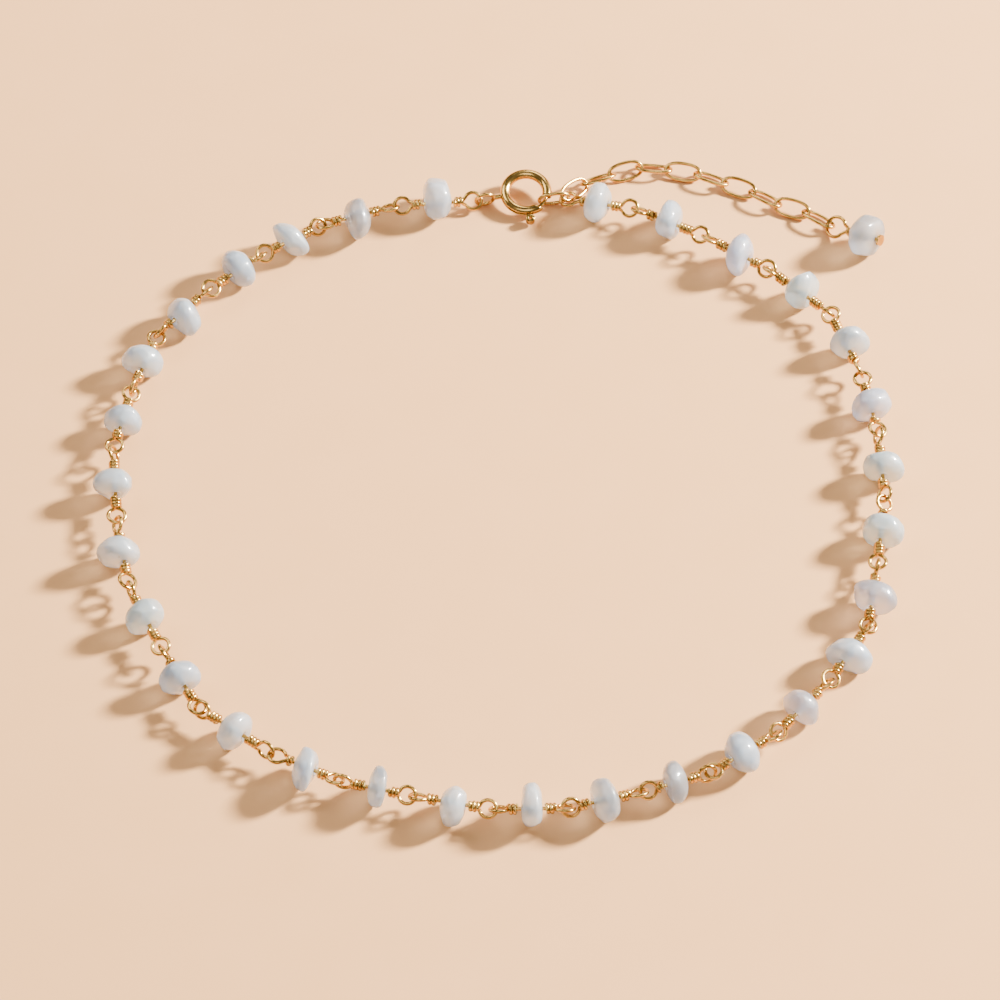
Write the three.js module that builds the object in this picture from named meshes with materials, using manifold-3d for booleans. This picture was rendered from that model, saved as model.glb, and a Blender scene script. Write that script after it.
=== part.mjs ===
// Beaded anklet: thirty tumbled stone beads, each on its own piece of gold wire that ends in
// a wrapped eye on both sides, hooked eye to eye into one loop. A spring-ring clasp closes it
// on an extender of oval links, which carries one more bead on a head pin.
//
// Millimetres and degrees, +Z up. The anklet lies closed on the plane Z = 0, with its clasp
// at the far side (+Y). Headings turn counter-clockwise from +X, seen from above.

import * as THREE from "three";
import { mergeVertices } from "three/addons/utils/BufferGeometryUtils.js";
import Module from "manifold-3d";

const wasm = await Module();
wasm.setup();

// Wire and its wrapped links
const WIRE = 0.38;
const WIRE_SIDES = 5;
const AXIS_HEIGHT = 2.05;
const COIL_RADIUS = 0.58;
const COIL_GROOVE = 0.09;
const COIL_PITCH = 0.38;
const COIL_SIDES = 5;
const MOST_GROOVES = 1;
const COIL_TO_BEAD = 0.08;
const EYE_RADIUS = 0.86;
const EYE_OPENING_ANGLE = 124;
const EYE_STEPS = 7;
const EYE_PATH_POINTS = 8;
const NECK_HALF_WIDTH = 0.12;
const NECK_DEPTH = 0.04;
const HOOKED = 0.14;
const FREE = 0.34;

// Beads
const BORE = 0.45;
const BEAD_SIDES = 10;
const RIM_SHARE = 0.24;
const SHOULDER_SHARE = 0.66;
const FACE_SHARE = 0.4;

// Clasp, measured from the middle of its ring
const CLASP = { x: 2.77, y: 36.94, z: 1.3, tilt: 9 };
const RING_RADIUS = 2.23;
const TUBE_RADIUS = 0.52;
const TUBE_SIDES = 8;
const RING_STEPS = 13;
const CHANNEL_RADIUS = 0.37;
const CHANNEL_SIDES = 6;
const CHANNEL_PAST_MOUTH = 3;
const MOUTH = { from: -57, to: -13 };
const TONGUE_RADIUS = 0.2;
const TONGUE = { tip: -8, tail: -106 };
const TAB_ANGLE = -82;
const TAB_REACH = 1.1;
const TAB_RADIUS = 0.46;
const TAB_HOLE = 0.14;
const TAB_HEIGHT = 0.8;
const TAB_STEM = 0.22;
const TRIGGER_SIDES = 6;
const TONGUE_STEPS = 6;
const KNOB_SIDES = 8;
const TRAVEL = 45;
const SLOT = { width: 0.42, margin: 8 };
const END_RING = { heading: 191, middle: 4.44, radius: 0.95, wire: 0.42 };
const STUB = { radius: 0.28, sides: 6, over: 0.05 };

// Extender of oval links, and the joining link at the clasp
const OVAL = { length: 4.1, width: 2.15, wire: 0.38, sides: 10 };
const JOINING = { length: 3.5, width: 2.12, heading: 7, slope: 3, roll: 84 };
const TONGUE_HOLD = { angle: -32, radius: 1.66, height: 1.03 };
const LAST_HOOK = { back: 0.46, above: -0.25 };
const FIRST_OVAL_HOOK = { back: 0.44, above: 0.2 };
const OVAL_HEIGHT = 0.72;
const OVAL_ROWS = [
  // heading, pitch, roll
  [46, 3.1, -38],
  [21, 3.15, 40],
  [20, 3.15, -38],
  [-6, 3.1, 29],
  [-11, 3.2, -33],
  [-24, 3.1, 29],
  [-22, 3.2, -33],
  [-33, 3.1, 29],
  [-20, 3.2, -33],
  [-35, 3.0, 29],
];

// Drop bead and its head pin
const DROP = { heading: -35, slope: 17, turns: 2, reach: 2.36, roll: -34, eye: 1.05 };
const DROP_BEAD = {
  thick: 2.9, wide: 4.6, tall: 4.6, lean: 0, skew: 0, pear: 0, lobe: 0.02, side: 0,
};
const PIN_HEAD = { radius: 0.6, thick: 0.3 };

// One row for each link of the loop, from the clasp's left counter-clockwise.
// heading and length run from hook to hook, shift moves the bead towards the next link.
// thick, wide and tall are the bead's size along, across and above its wire.
// lean tips its top and skew its left side forwards, pear thickens its top, lobe makes it
// three-cornered and side moves its middle to the left of the wire.
// turnsA and turnsB count the wraps on both sides, rollA and rollB turn the eyes' planes
// about the wire, 0 being flat.
const COLUMNS = [
  "heading", "length", "shift", "thick", "wide", "tall", "lean", "skew", "pear", "lobe", "side",
  "turnsA", "turnsB", "rollA", "rollB",
];
const ROWS = [
  [190, 8.8, 0.0, 2.9, 4.7, 4.3, 4, 4, 0.05, 0.03, -0.3, 3, 3, 30, 40],
  [198, 8.2, 0.3, 2.7, 4.6, 4.2, -6, 8, 0.1, -0.03, 0.5, 3, 3, -32, -22],
  [213, 7.5, 0.0, 2.3, 4.3, 4.0, 14, -14, 0.0, 0.0, -0.2, 3, 3, 50, 35],
  [221, 7.2, -0.7, 2.6, 4.4, 4.1, 4, 0, 0.1, 0.02, -0.3, 1, 4, -45, 20],
  [229, 7.4, 0.2, 2.7, 4.3, 4.0, 0, 10, -0.1, 0.06, 0.4, 3, 2, -58, -70],
  [252, 7.8, -0.1, 2.8, 4.4, 4.0, 0, -6, 0.05, 0.04, -0.4, 2, 3, 10, -88],
  [258, 7.5, 0.0, 2.5, 4.0, 3.8, -4, 0, 0.1, 0.0, 0.0, 3, 3, 20, 0],
  [275, 8.9, 0.1, 2.6, 4.0, 3.8, 0, 4, 0.25, -0.06, -0.2, 4, 4, 66, 5],
  [281, 8.1, -0.1, 2.9, 4.4, 4.1, 5, 6, 0.0, 0.05, -0.5, 2, 3, -62, 30],
  [296, 8.3, 0.0, 2.8, 4.2, 4.1, 0, -4, 0.0, 0.0, 0.0, 3, 4, -80, -15],
  [299, 7.9, 0.0, 2.8, 4.3, 4.0, 0, 6, 0.05, 0.03, 0.0, 2, 4, 68, 15],
  [324, 9.1, -0.1, 2.8, 4.2, 4.1, 8, 0, -0.25, 0.06, 0.1, 4, 4, -55, -68],
  [335, 7.4, 0.0, 2.2, 4.6, 4.2, 14, -18, 0.0, 0.0, -0.2, 2, 3, 8, 29],
  [346, 7.3, 0.1, 1.8, 4.4, 4.1, 12, -12, 0.05, 0.0, 0.3, 4, 3, -82, -33],
  [349, 7.8, 0.1, 2.6, 4.1, 4.0, 6, 2, -0.1, 0.03, -0.2, 3, 3, 41, -35],
  [1, 7.3, 0.2, 2.1, 4.5, 4.3, 0, 0, 0.0, 0.0, 0.4, 3, 3, 43, 40],
  [14, 7.6, -0.1, 2.5, 4.6, 4.3, 5, -4, 0.05, 0.0, 0.0, 3, 3, -45, 38],
  [18, 6.8, -0.1, 2.2, 4.3, 4.0, -8, 10, 0.1, 0.04, 0.3, 2, 3, -50, -66],
  [34, 7.9, 0.0, 2.9, 4.5, 4.1, -8, 8, 0.0, 0.02, 0.2, 3, 3, 4, 45],
  [48, 7.9, 0.2, 2.7, 4.1, 4.0, 0, 0, 0.0, 0.05, 0.3, 4, 3, -35, 55],
  [57, 7.8, 0.2, 2.8, 4.6, 4.0, 0, -8, -0.05, 0.06, -0.1, 3, 3, -25, 62],
  [80, 7.7, -0.2, 2.8, 4.6, 4.1, 0, 4, 0.0, -0.04, -0.3, 3, 3, -12, 85],
  [82, 8.1, 0.1, 2.9, 4.3, 4.1, 4, 0, 0.05, 0.0, -0.2, 4, 2, 5, -30],
  [92, 8.4, -0.3, 2.7, 4.4, 4.0, 0, 6, 0.0, 0.03, -0.2, 3, 3, 45, 67],
  [101, 7.3, -0.4, 2.7, 4.5, 4.0, 0, -8, 0.1, 0.04, -0.2, 2, 3, -20, 5],
  [110, 8.3, 0.1, 2.8, 4.2, 4.1, 0, 8, -0.1, 0.08, -0.5, 3, 4, -68, 22],
  [137, 8.4, 0.1, 2.8, 4.3, 4.1, 8, 0, -0.2, 0.05, -0.6, 4, 4, -58, -48],
  [146, 7.9, -0.3, 2.4, 4.5, 4.1, 10, -10, 0.0, 0.0, 0.0, 3, 4, 30, -42],
  [153, 8.2, 0.3, 2.4, 4.4, 4.2, 8, -8, -0.1, 0.05, -0.5, 4, 3, 33, -38],
  [163, 7.9, 0.1, 2.4, 4.6, 4.2, -4, 4, 0.0, 0.02, 0.4, 3, 2, 35, 5],
];

const GOLD = { color: 0xd9a860, roughness: 0.22, metalness: 1 };
const STONE = { color: 0xc9d6dc, roughness: 0.28, metalness: 0 };

const radians = THREE.MathUtils.degToRad;
const UP = new THREE.Vector3(0, 0, 1);

// Turns a closed geometry into a solid that can be joined and cut.
function solidOf(geometry) {
  const bare = geometry.clone();
  bare.deleteAttribute("normal");
  bare.deleteAttribute("uv");
  const merged = mergeVertices(bare, 1e-4);
  const mesh = new wasm.Mesh({
    numProp: 3,
    vertProperties: new Float32Array(merged.attributes.position.array),
    triVerts: new Uint32Array(merged.index.array),
  });
  return new wasm.Manifold(mesh);
}

function geometryOf(solid) {
  const mesh = solid.getMesh();
  const geometry = new THREE.BufferGeometry();
  geometry.setAttribute("position", new THREE.BufferAttribute(mesh.vertProperties, 3));
  geometry.setIndex(new THREE.BufferAttribute(mesh.triVerts, 1));
  geometry.computeVertexNormals();
  return geometry;
}

function joined(geometries) {
  return geometries.map(solidOf).reduce((whole, piece) => whole.add(piece));
}

function polygon(radius, sides) {
  const corners = [];
  for (let i = 0; i < sides; i += 1) {
    const angle = (2 * Math.PI * i) / sides;
    corners.push(new THREE.Vector2(radius * Math.cos(angle), radius * Math.sin(angle)));
  }
  return new THREE.Shape(corners);
}

function rod(path, radius, sides, steps) {
  const section = polygon(radius, sides);
  return new THREE.ExtrudeGeometry(section, { extrudePath: path, steps, bevelEnabled: false });
}

// A lathe's axis is Y, and the wires run along X.
function latheAlongX(profile, sides, start) {
  const points = profile.map(([radius, along]) => new THREE.Vector2(radius, along));
  return new THREE.LatheGeometry(points, sides, start, 2 * Math.PI).rotateZ(-Math.PI / 2);
}

// A frame with X along the wire, Y to its left and Z above it.
function wireFrame(origin, direction) {
  const along = direction.clone().normalize();
  const left = new THREE.Vector3().crossVectors(UP, along).normalize();
  const above = new THREE.Vector3().crossVectors(along, left);
  return new THREE.Matrix4().makeBasis(along, left, above).setPosition(origin);
}

function directionOf(heading, slope) {
  const level = Math.cos(radians(slope));
  return new THREE.Vector3(
    level * Math.cos(radians(heading)),
    level * Math.sin(radians(heading)),
    Math.sin(radians(slope)),
  );
}

// A turn about X that brings the loop's plane from flat to its roll.
function rolled(roll) {
  return new THREE.Matrix4().makeRotationX(-radians(roll));
}

// The eye leaves the coil's end at X = 0, swings round and comes back beside itself.
function eyeGeometry(reach, hook, radius) {
  const middle = reach + hook - radius;
  const points = [new THREE.Vector3(-NECK_DEPTH, NECK_HALF_WIDTH, 0)];
  for (let i = 0; i <= EYE_PATH_POINTS; i += 1) {
    const angle = radians(EYE_OPENING_ANGLE * (1 - (2 * i) / EYE_PATH_POINTS));
    const x = middle + radius * Math.cos(angle);
    points.push(new THREE.Vector3(x, radius * Math.sin(angle), 0));
  }
  points.push(new THREE.Vector3(-NECK_DEPTH, -NECK_HALF_WIDTH, 0));
  const path = new THREE.CatmullRomCurve3(points, false, "centripetal");
  return rod(path, WIRE / 2, WIRE_SIDES, EYE_STEPS);
}

// The ridged outline of one coil: a groove between each two ridges.
function coilProfile(from, turns) {
  const steps = 2 * Math.min(turns - 1, MOST_GROOVES);
  const profile = [];
  for (let i = 0; i <= Math.max(steps, 1); i += 1) {
    const radius = COIL_RADIUS - (i % 2) * (steps > 0 ? COIL_GROOVE : 0);
    profile.push([radius, from + (turns * COIL_PITCH * i) / Math.max(steps, 1)]);
  }
  return profile;
}

// Two coils on one straight wire, which passes through the bead between them.
function coilsGeometry(thick, turnsA, turnsB) {
  const face = thick / 2 + COIL_TO_BEAD;
  const startA = -face - turnsA * COIL_PITCH;
  const endB = face + turnsB * COIL_PITCH;
  const profile = [[0, startA], ...coilProfile(startA, turnsA)];
  profile.push([WIRE / 2, -face], [WIRE / 2, face]);
  profile.push(...coilProfile(face, turnsB), [0, endB]);
  return latheAlongX(profile, COIL_SIDES, 0);
}

// A drilled pebble around the X axis, in the frame of its wire. rise lifts its middle, and
// the bore stays on the wire while the rim takes the full lean, lobe, side and rise.
function pebbleGeometry(bead, rise) {
  const rim = bead.thick * RIM_SHARE;
  const shoulder = bead.thick / 2;
  const face = bead.thick * FACE_SHARE;
  const profile = [
    [BORE, -face], [SHOULDER_SHARE, -shoulder], [1, -rim],
    [1, rim], [SHOULDER_SHARE, shoulder], [BORE, face], [BORE, -face],
  ];
  const geometry = latheAlongX(profile, BEAD_SIDES, Math.PI / BEAD_SIDES);
  const place = geometry.attributes.position;
  for (let i = 0; i < place.count; i += 1) {
    const x = place.getX(i);
    const y = place.getY(i);
    const z = place.getZ(i);
    const radius = Math.hypot(y, z);
    const share = Math.max(0, (radius - BORE) / (1 - BORE));
    const angle = Math.atan2(y, z);
    const swell = 1 + bead.lobe * share * Math.cos(3 * angle);
    const across = y * THREE.MathUtils.lerp(1, bead.wide / 2, share) * swell;
    const above = z * THREE.MathUtils.lerp(1, bead.tall / 2, share) * swell;
    const tipped = across * Math.tan(radians(bead.skew)) + above * Math.tan(radians(bead.lean));
    const thickness = 1 + bead.pear * z * share;
    place.setXYZ(i, x * thickness + share * tipped, across + share * bead.side, above + share * rise);
  }
  geometry.computeVertexNormals();
  return geometry;
}

// How far the lowest corners of a pebble's rim lie under its middle.
function footDepth(bead) {
  const corner = Math.PI / BEAD_SIDES;
  const swell = 1 + bead.lobe * Math.cos(3 * (Math.PI - corner));
  return (bead.tall / 2) * Math.cos(corner) * swell;
}

// How far a pebble's middle lies above its wire for its rim to stand on the plane Z = 0.
function standingRise(bead, slope, height) {
  const foot = footDepth(bead);
  const lowest = -Math.sign(slope) * bead.thick * RIM_SHARE - foot * Math.tan(radians(bead.lean));
  return foot - lowest * Math.tan(slope) - height / Math.cos(slope);
}

function named(name, geometry, finish) {
  const mesh = new THREE.Mesh(geometry, new THREE.MeshStandardMaterial(finish));
  mesh.name = name;
  return mesh;
}

function placed(mesh, frame) {
  frame.decompose(mesh.position, mesh.quaternion, mesh.scale);
  return mesh;
}

const claspFrame = new THREE.Matrix4()
  .makeRotationX(radians(CLASP.tilt))
  .setPosition(CLASP.x, CLASP.y, CLASP.z);

function onClasp(angle, radius) {
  return new THREE.Vector3(
    radius * Math.cos(radians(angle)), radius * Math.sin(radians(angle)), 0,
  );
}

class ClaspArc extends THREE.Curve {
  constructor(from, to) {
    super();
    this.from = from;
    this.to = to;
  }

  getPoint(t) {
    return onClasp(THREE.MathUtils.lerp(this.from, this.to, t), RING_RADIUS);
  }
}

// The clasp's ring is a hollow tube, open at the mouth, with a slot for the trigger's tab.
function claspBody() {
  const tubeStart = MOUTH.to;
  const tubeEnd = MOUTH.from + 360;
  const tube = rod(new ClaspArc(tubeStart, tubeEnd), TUBE_RADIUS, TUBE_SIDES, RING_STEPS);
  const channelArc = new ClaspArc(tubeStart - CHANNEL_PAST_MOUTH, tubeEnd + CHANNEL_PAST_MOUTH);
  const channel = rod(channelArc, CHANNEL_RADIUS, CHANNEL_SIDES, RING_STEPS);
  const slotFrom = radians(TAB_ANGLE - TRAVEL - SLOT.margin);
  const slotTo = radians(TAB_ANGLE + SLOT.margin);
  const outside = RING_RADIUS + 2 * TUBE_RADIUS;
  const sector = new THREE.Shape();
  sector.absarc(0, 0, outside, slotFrom, slotTo, false);
  sector.absarc(0, 0, RING_RADIUS, slotTo, slotFrom, true);
  const slot = new THREE.ExtrudeGeometry(sector, {
    depth: SLOT.width, bevelEnabled: false, curveSegments: 4,
  }).translate(0, 0, -SLOT.width / 2);
  const ringMiddle = onClasp(END_RING.heading, END_RING.middle);
  const wire = END_RING.wire / 2;
  const ring = new THREE.TorusGeometry(END_RING.radius, wire, WIRE_SIDES, OVAL.sides)
    .rotateX(Math.PI / 2)
    .rotateZ(radians(END_RING.heading))
    .translate(ringMiddle.x, ringMiddle.y, ringMiddle.z);
  const stubFrom = onClasp(END_RING.heading, RING_RADIUS + CHANNEL_RADIUS + STUB.over);
  const stubTo = onClasp(END_RING.heading, END_RING.middle - END_RING.radius + STUB.over);
  const stub = rod(new THREE.LineCurve3(stubFrom, stubTo), STUB.radius, STUB.sides, 1);
  const solid = solidOf(tube)
    .subtract(solidOf(channel))
    .subtract(solidOf(slot))
    .add(solidOf(stub))
    .add(solidOf(ring));
  return placed(named("clasp_body", geometryOf(solid), GOLD), claspFrame);
}

// The trigger is a curved tongue that slides in the tube, with a pierced knob to push it by.
function claspTrigger() {
  const tongueArc = new ClaspArc(TONGUE.tail, TONGUE.tip);
  const tongue = rod(tongueArc, TONGUE_RADIUS, TRIGGER_SIDES, TONGUE_STEPS);
  const stemFrom = onClasp(TAB_ANGLE, RING_RADIUS);
  const stemTo = onClasp(TAB_ANGLE, RING_RADIUS + TAB_REACH - (TAB_HOLE + TAB_RADIUS) / 2);
  const stem = rod(new THREE.LineCurve3(stemFrom, stemTo), TAB_STEM / 2, TRIGGER_SIDES, 1);
  const half = TAB_HEIGHT / 2;
  const knobMiddle = onClasp(TAB_ANGLE, RING_RADIUS + TAB_REACH);
  const profile = [
    [TAB_HOLE, -half], [TAB_RADIUS, -half], [TAB_RADIUS, half], [TAB_HOLE, half],
    [TAB_HOLE, -half],
  ];
  const knob = latheAlongX(profile, KNOB_SIDES, 0)
    .rotateY(-Math.PI / 2)
    .translate(knobMiddle.x, knobMiddle.y, knobMiddle.z);
  const solid = joined([tongue, stem, knob]);
  return placed(named("clasp_trigger", geometryOf(solid), GOLD), claspFrame);
}

// An oval link lies flat around its middle, its long side on X.
function ovalGeometry(outerLength, outerWidth) {
  const radius = (outerWidth - OVAL.wire) / 2;
  const straight = outerLength - OVAL.wire - 2 * radius;
  const geometry = new THREE.TorusGeometry(radius, OVAL.wire / 2, WIRE_SIDES, OVAL.sides);
  const place = geometry.attributes.position;
  for (let i = 0; i < place.count; i += 1) {
    place.setX(i, place.getX(i) + (Math.sign(place.getX(i)) * straight) / 2);
  }
  geometry.computeVertexNormals();
  return geometry;
}

// Where each hook of the loop lies: the rows are walked from the clasp's end ring, and the
// small miss at the far end is shared by all the hooks.
function loopHooks(rows, start, finish) {
  const hooks = [start.clone()];
  for (const row of rows) {
    const step = directionOf(row.heading, 0).multiplyScalar(row.length);
    hooks.push(hooks[hooks.length - 1].clone().add(step));
  }
  const miss = finish.clone().sub(hooks[hooks.length - 1]);
  hooks.forEach((hook, i) => {
    hook.addScaledVector(miss, i / rows.length);
    hook.z = AXIS_HEIGHT;
  });
  hooks[0].z = start.z;
  hooks[rows.length].z = finish.z;
  return hooks;
}

const rows = ROWS.map((row) => Object.fromEntries(COLUMNS.map((key, i) => [key, row[i]])));

const endRingInside = END_RING.middle + END_RING.radius - END_RING.wire / 2;
const firstHook = onClasp(END_RING.heading, endRingInside).applyMatrix4(claspFrame);

const tongueHold = onClasp(TONGUE_HOLD.angle, TONGUE_HOLD.radius).applyMatrix4(claspFrame);
tongueHold.z = TONGUE_HOLD.height;
const joiningAlong = directionOf(JOINING.heading, JOINING.slope);
const joiningSpan = JOINING.length - OVAL.wire;
const joiningMiddle = tongueHold.clone().addScaledVector(joiningAlong, joiningSpan / 2);
const joiningEnd = tongueHold.clone().addScaledVector(joiningAlong, joiningSpan);
const lastHook = joiningEnd.clone().addScaledVector(joiningAlong, -LAST_HOOK.back);
lastHook.z += LAST_HOOK.above;
const hooks = loopHooks(rows, firstHook, lastHook);

const anklet = new THREE.Group();
anklet.add(claspBody(), claspTrigger());

const links = [];
rows.forEach((row, i) => {
  const along = hooks[i + 1].clone().sub(hooks[i]);
  const length = along.length();
  const middle = hooks[i].clone().lerp(hooks[i + 1], 0.5 + row.shift / length);
  const frame = wireFrame(middle, along);
  const rise = standingRise(row, Math.asin(along.z / length), middle.z);
  const number = String(i + 1).padStart(2, "0");
  const bead = named(`bead_${number}`, pebbleGeometry(row, rise), STONE);
  anklet.add(placed(bead, frame));

  const face = row.thick / 2 + COIL_TO_BEAD;
  const endA = face + row.turnsA * COIL_PITCH;
  const endB = face + row.turnsB * COIL_PITCH;
  const isLast = i === rows.length - 1;
  const half = rows.length / 2;
  const hookA = i === 0 || i === half ? FREE : HOOKED;
  const hookB = isLast || i === half - 1 ? FREE : HOOKED;
  const eyeA = eyeGeometry(length / 2 + row.shift - endA, hookA, EYE_RADIUS)
    .translate(endA, 0, 0)
    .rotateZ(Math.PI)
    .applyMatrix4(rolled(row.rollA));
  const eyeB = eyeGeometry(length / 2 - row.shift - endB, hookB, EYE_RADIUS)
    .translate(endB, 0, 0)
    .applyMatrix4(rolled(row.rollB));
  const link = joined([coilsGeometry(row.thick, row.turnsA, row.turnsB), eyeA, eyeB]);
  links.push(link.transform(frame.elements));
});

const halfCount = links.length / 2;
const leftWires = links.slice(0, halfCount).reduce((whole, link) => whole.add(link));
const rightWires = links.slice(halfCount).reduce((whole, link) => whole.add(link));
anklet.add(named("wires_left", geometryOf(leftWires), GOLD));
anklet.add(named("wires_right", geometryOf(rightWires), GOLD));

const joining = named("extender_link_00", ovalGeometry(JOINING.length, JOINING.width), GOLD);
const joiningFrame = wireFrame(joiningMiddle, joiningAlong).multiply(rolled(JOINING.roll));
anklet.add(placed(joining, joiningFrame));

const ovalHook = joiningEnd.clone().addScaledVector(joiningAlong, -FIRST_OVAL_HOOK.back);
ovalHook.z += FIRST_OVAL_HOOK.above;
OVAL_ROWS.forEach(([heading, pitch, roll], i) => {
  const next = ovalHook.clone().addScaledVector(directionOf(heading, 0), pitch);
  next.z = OVAL_HEIGHT;
  const along = next.clone().sub(ovalHook);
  const middle = ovalHook.clone().lerp(next, 0.5);
  const number = String(i + 1).padStart(2, "0");
  const link = named(`extender_link_${number}`, ovalGeometry(OVAL.length, OVAL.width), GOLD);
  anklet.add(placed(link, wireFrame(middle, along).multiply(rolled(roll))));
  ovalHook.copy(next);
});

const dropAlong = directionOf(DROP.heading, DROP.slope);
const dropFace = DROP_BEAD.thick / 2 + COIL_TO_BEAD;
const dropCoil = DROP.turns * COIL_PITCH;
const dropDistance = dropFace + dropCoil + DROP.reach;
const dropMiddle = ovalHook.clone().addScaledVector(dropAlong, dropDistance);
const dropFrame = wireFrame(dropMiddle, dropAlong);
const dropRise = standingRise(DROP_BEAD, radians(DROP.slope), dropMiddle.z);
const dropPebble = pebbleGeometry(DROP_BEAD, dropRise);
anklet.add(placed(named("drop_bead", dropPebble, STONE), dropFrame));

const coilEnd = -dropFace - dropCoil;
const pinProfile = [
  [0, coilEnd], ...coilProfile(coilEnd, DROP.turns), [WIRE / 2, -dropFace],
  [WIRE / 2, dropFace], [PIN_HEAD.radius, dropFace],
  [PIN_HEAD.radius, dropFace + PIN_HEAD.thick], [0, dropFace + PIN_HEAD.thick],
];
const pinEye = eyeGeometry(DROP.reach, FREE, DROP.eye)
  .translate(-coilEnd, 0, 0)
  .rotateZ(Math.PI)
  .applyMatrix4(rolled(DROP.roll));
const pin = joined([latheAlongX(pinProfile, COIL_SIDES, 0), pinEye]);
anklet.add(placed(named("head_pin", geometryOf(pin), GOLD), dropFrame));

export default anklet;
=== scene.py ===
import math

import bpy
import numpy as np
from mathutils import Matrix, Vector, noise


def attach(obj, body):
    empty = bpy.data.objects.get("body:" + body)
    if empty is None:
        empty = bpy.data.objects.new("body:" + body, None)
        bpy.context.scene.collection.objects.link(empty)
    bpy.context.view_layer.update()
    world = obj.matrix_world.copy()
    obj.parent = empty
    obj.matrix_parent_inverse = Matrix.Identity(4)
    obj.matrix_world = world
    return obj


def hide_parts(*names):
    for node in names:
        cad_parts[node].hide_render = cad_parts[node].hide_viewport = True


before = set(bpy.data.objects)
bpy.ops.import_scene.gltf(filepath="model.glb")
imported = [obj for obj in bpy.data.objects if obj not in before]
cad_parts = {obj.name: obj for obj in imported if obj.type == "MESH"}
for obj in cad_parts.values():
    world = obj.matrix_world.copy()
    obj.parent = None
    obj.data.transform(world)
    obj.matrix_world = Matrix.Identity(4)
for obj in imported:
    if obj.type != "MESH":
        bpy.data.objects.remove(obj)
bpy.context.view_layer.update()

# Surface, lamps and camera
# The anklet lies on a plain pale surface. One lamp stands low on the right, a little behind,
# and throws long soft shadows; wide dim panels and a warm room fill them and give the metal
# something to mirror. The camera looks down from the front through a long lens.
MM = 0.001
FLOOR_HALF = 900 * MM
FLOOR_HEIGHT = -0.01 * MM
FLOOR_COLOUR = (0.76, 0.395, 0.158, 1)
FLOOR_PALER = (0.80, 0.42, 0.178, 1)
FLOOR_ROUGHNESS = 0.85
ROOM_COLOUR = (1.0, 0.97, 0.95, 1)
ROOM_STRENGTH = 0.22
KEY = {"azimuth": 20, "height": 29, "far": 0.75, "size": 0.11, "watts": 40.0}
KEY_COLOUR = (1.0, 0.97, 0.93)
PANELS = [
    # azimuth, height, far, size, watts
    (150, 48, 0.60, 0.34, 1.6),
    (265, 62, 0.70, 0.40, 1.2),
    (75, 40, 0.70, 0.30, 1.4),
]
PANEL_COLOUR = (1.0, 0.97, 0.95)
CAMERA_TARGET = (0.01 * MM, -3.51 * MM, 2.05 * MM)
CAMERA_HEIGHT = 55
CAMERA_FAR = 454.5 * MM
CAMERA_LENS = 162


class Value:
    """One number or colour of a material. Arithmetic on numbers adds Math nodes."""

    def __init__(self, finish, socket):
        self.finish = finish
        self.socket = socket

    def math(self, operation, first, second):
        return self.finish.node("ShaderNodeMath", {"operation": operation}, {0: first, 1: second})

    def __add__(self, other):
        return self.math("ADD", self, other)

    def __rsub__(self, other):
        return self.math("SUBTRACT", other, self)

    def __mul__(self, other):
        return self.math("MULTIPLY", self, other)

    __radd__ = __add__
    __rmul__ = __mul__


class Finish:
    """A material. Its shader's sockets hold what is the same all over the surface."""

    def __init__(self, name, constants):
        self.material = bpy.data.materials.new(name)
        self.material.use_nodes = True
        self.tree = self.material.node_tree
        self.shader = self.tree.nodes["Principled BSDF"]
        for socket, value in constants.items():
            self.shader.inputs[socket].default_value = value

    def node(self, kind, settings, values, output=0):
        made = self.tree.nodes.new(kind)
        for name, value in settings.items():
            setattr(made, name, value)
        for name, value in values.items():
            self.feed(made.inputs[name], value)
        return Value(self, made.outputs[output])

    def feed(self, socket, value):
        if isinstance(value, Value):
            self.tree.links.new(value.socket, socket)
        else:
            socket.default_value = value

    def mixed(self, share, first, second):
        return self.node("ShaderNodeMix", {"data_type": "RGBA"}, {0: share, 6: first, 7: second}, 2)

    def grain(self, where, size, detail=2.0, roughness=0.5):
        values = {"Vector": where, "Scale": 1 / size, "Detail": detail, "Roughness": roughness}
        return self.node("ShaderNodeTexNoise", {}, values)

    def between(self, value, low, high):
        """0 where value is under low, 1 where it is over high, and a smooth step between."""
        values = {"Value": value, "From Min": low, "From Max": high}
        return self.node("ShaderNodeMapRange", {"interpolation_type": "SMOOTHSTEP"}, values)

    def bumped(self, height, distance, below=None):
        values = {"Height": height, "Distance": distance, "Strength": 1.0}
        if below is not None:
            values["Normal"] = below
        return self.node("ShaderNodeBump", {}, values)

    def shows(self, **looks):
        for name, value in looks.items():
            self.feed(self.shader.inputs[name.replace("_", " ")], value)
        return self.material


def floor_finish():
    finish = Finish("pale_surface", {"Roughness": FLOOR_ROUGHNESS, "Specular IOR Level": 0.2})
    place = finish.node("ShaderNodeTexCoord", {}, {}, 3)
    cloud = finish.grain(place, 7 * MM, detail=4)
    return finish.shows(Base_Color=finish.mixed(cloud, FLOOR_COLOUR, FLOOR_PALER))


def aimed(thing, azimuth, height, far, target=(0, 0, 0)):
    """Puts a lamp or the camera round the target, looking at it. Azimuth 0 is +X."""
    turn, rise = math.radians(azimuth), math.radians(height)
    level = math.cos(rise)
    away = Vector((math.cos(turn) * level, math.sin(turn) * level, math.sin(rise)))
    holder = bpy.data.objects.new(thing.name, thing)
    bpy.context.scene.collection.objects.link(holder)
    holder.location = Vector(target) + away * far
    holder.rotation_euler = away.to_track_quat("Z", "Y").to_euler()
    return holder


def lamp(name, azimuth, height, far, size, watts, colour):
    light = bpy.data.lights.new(name, "AREA")
    light.shape = "DISK"
    light.size = size
    light.energy = watts
    light.color = colour
    return aimed(light, azimuth, height, far)


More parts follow.
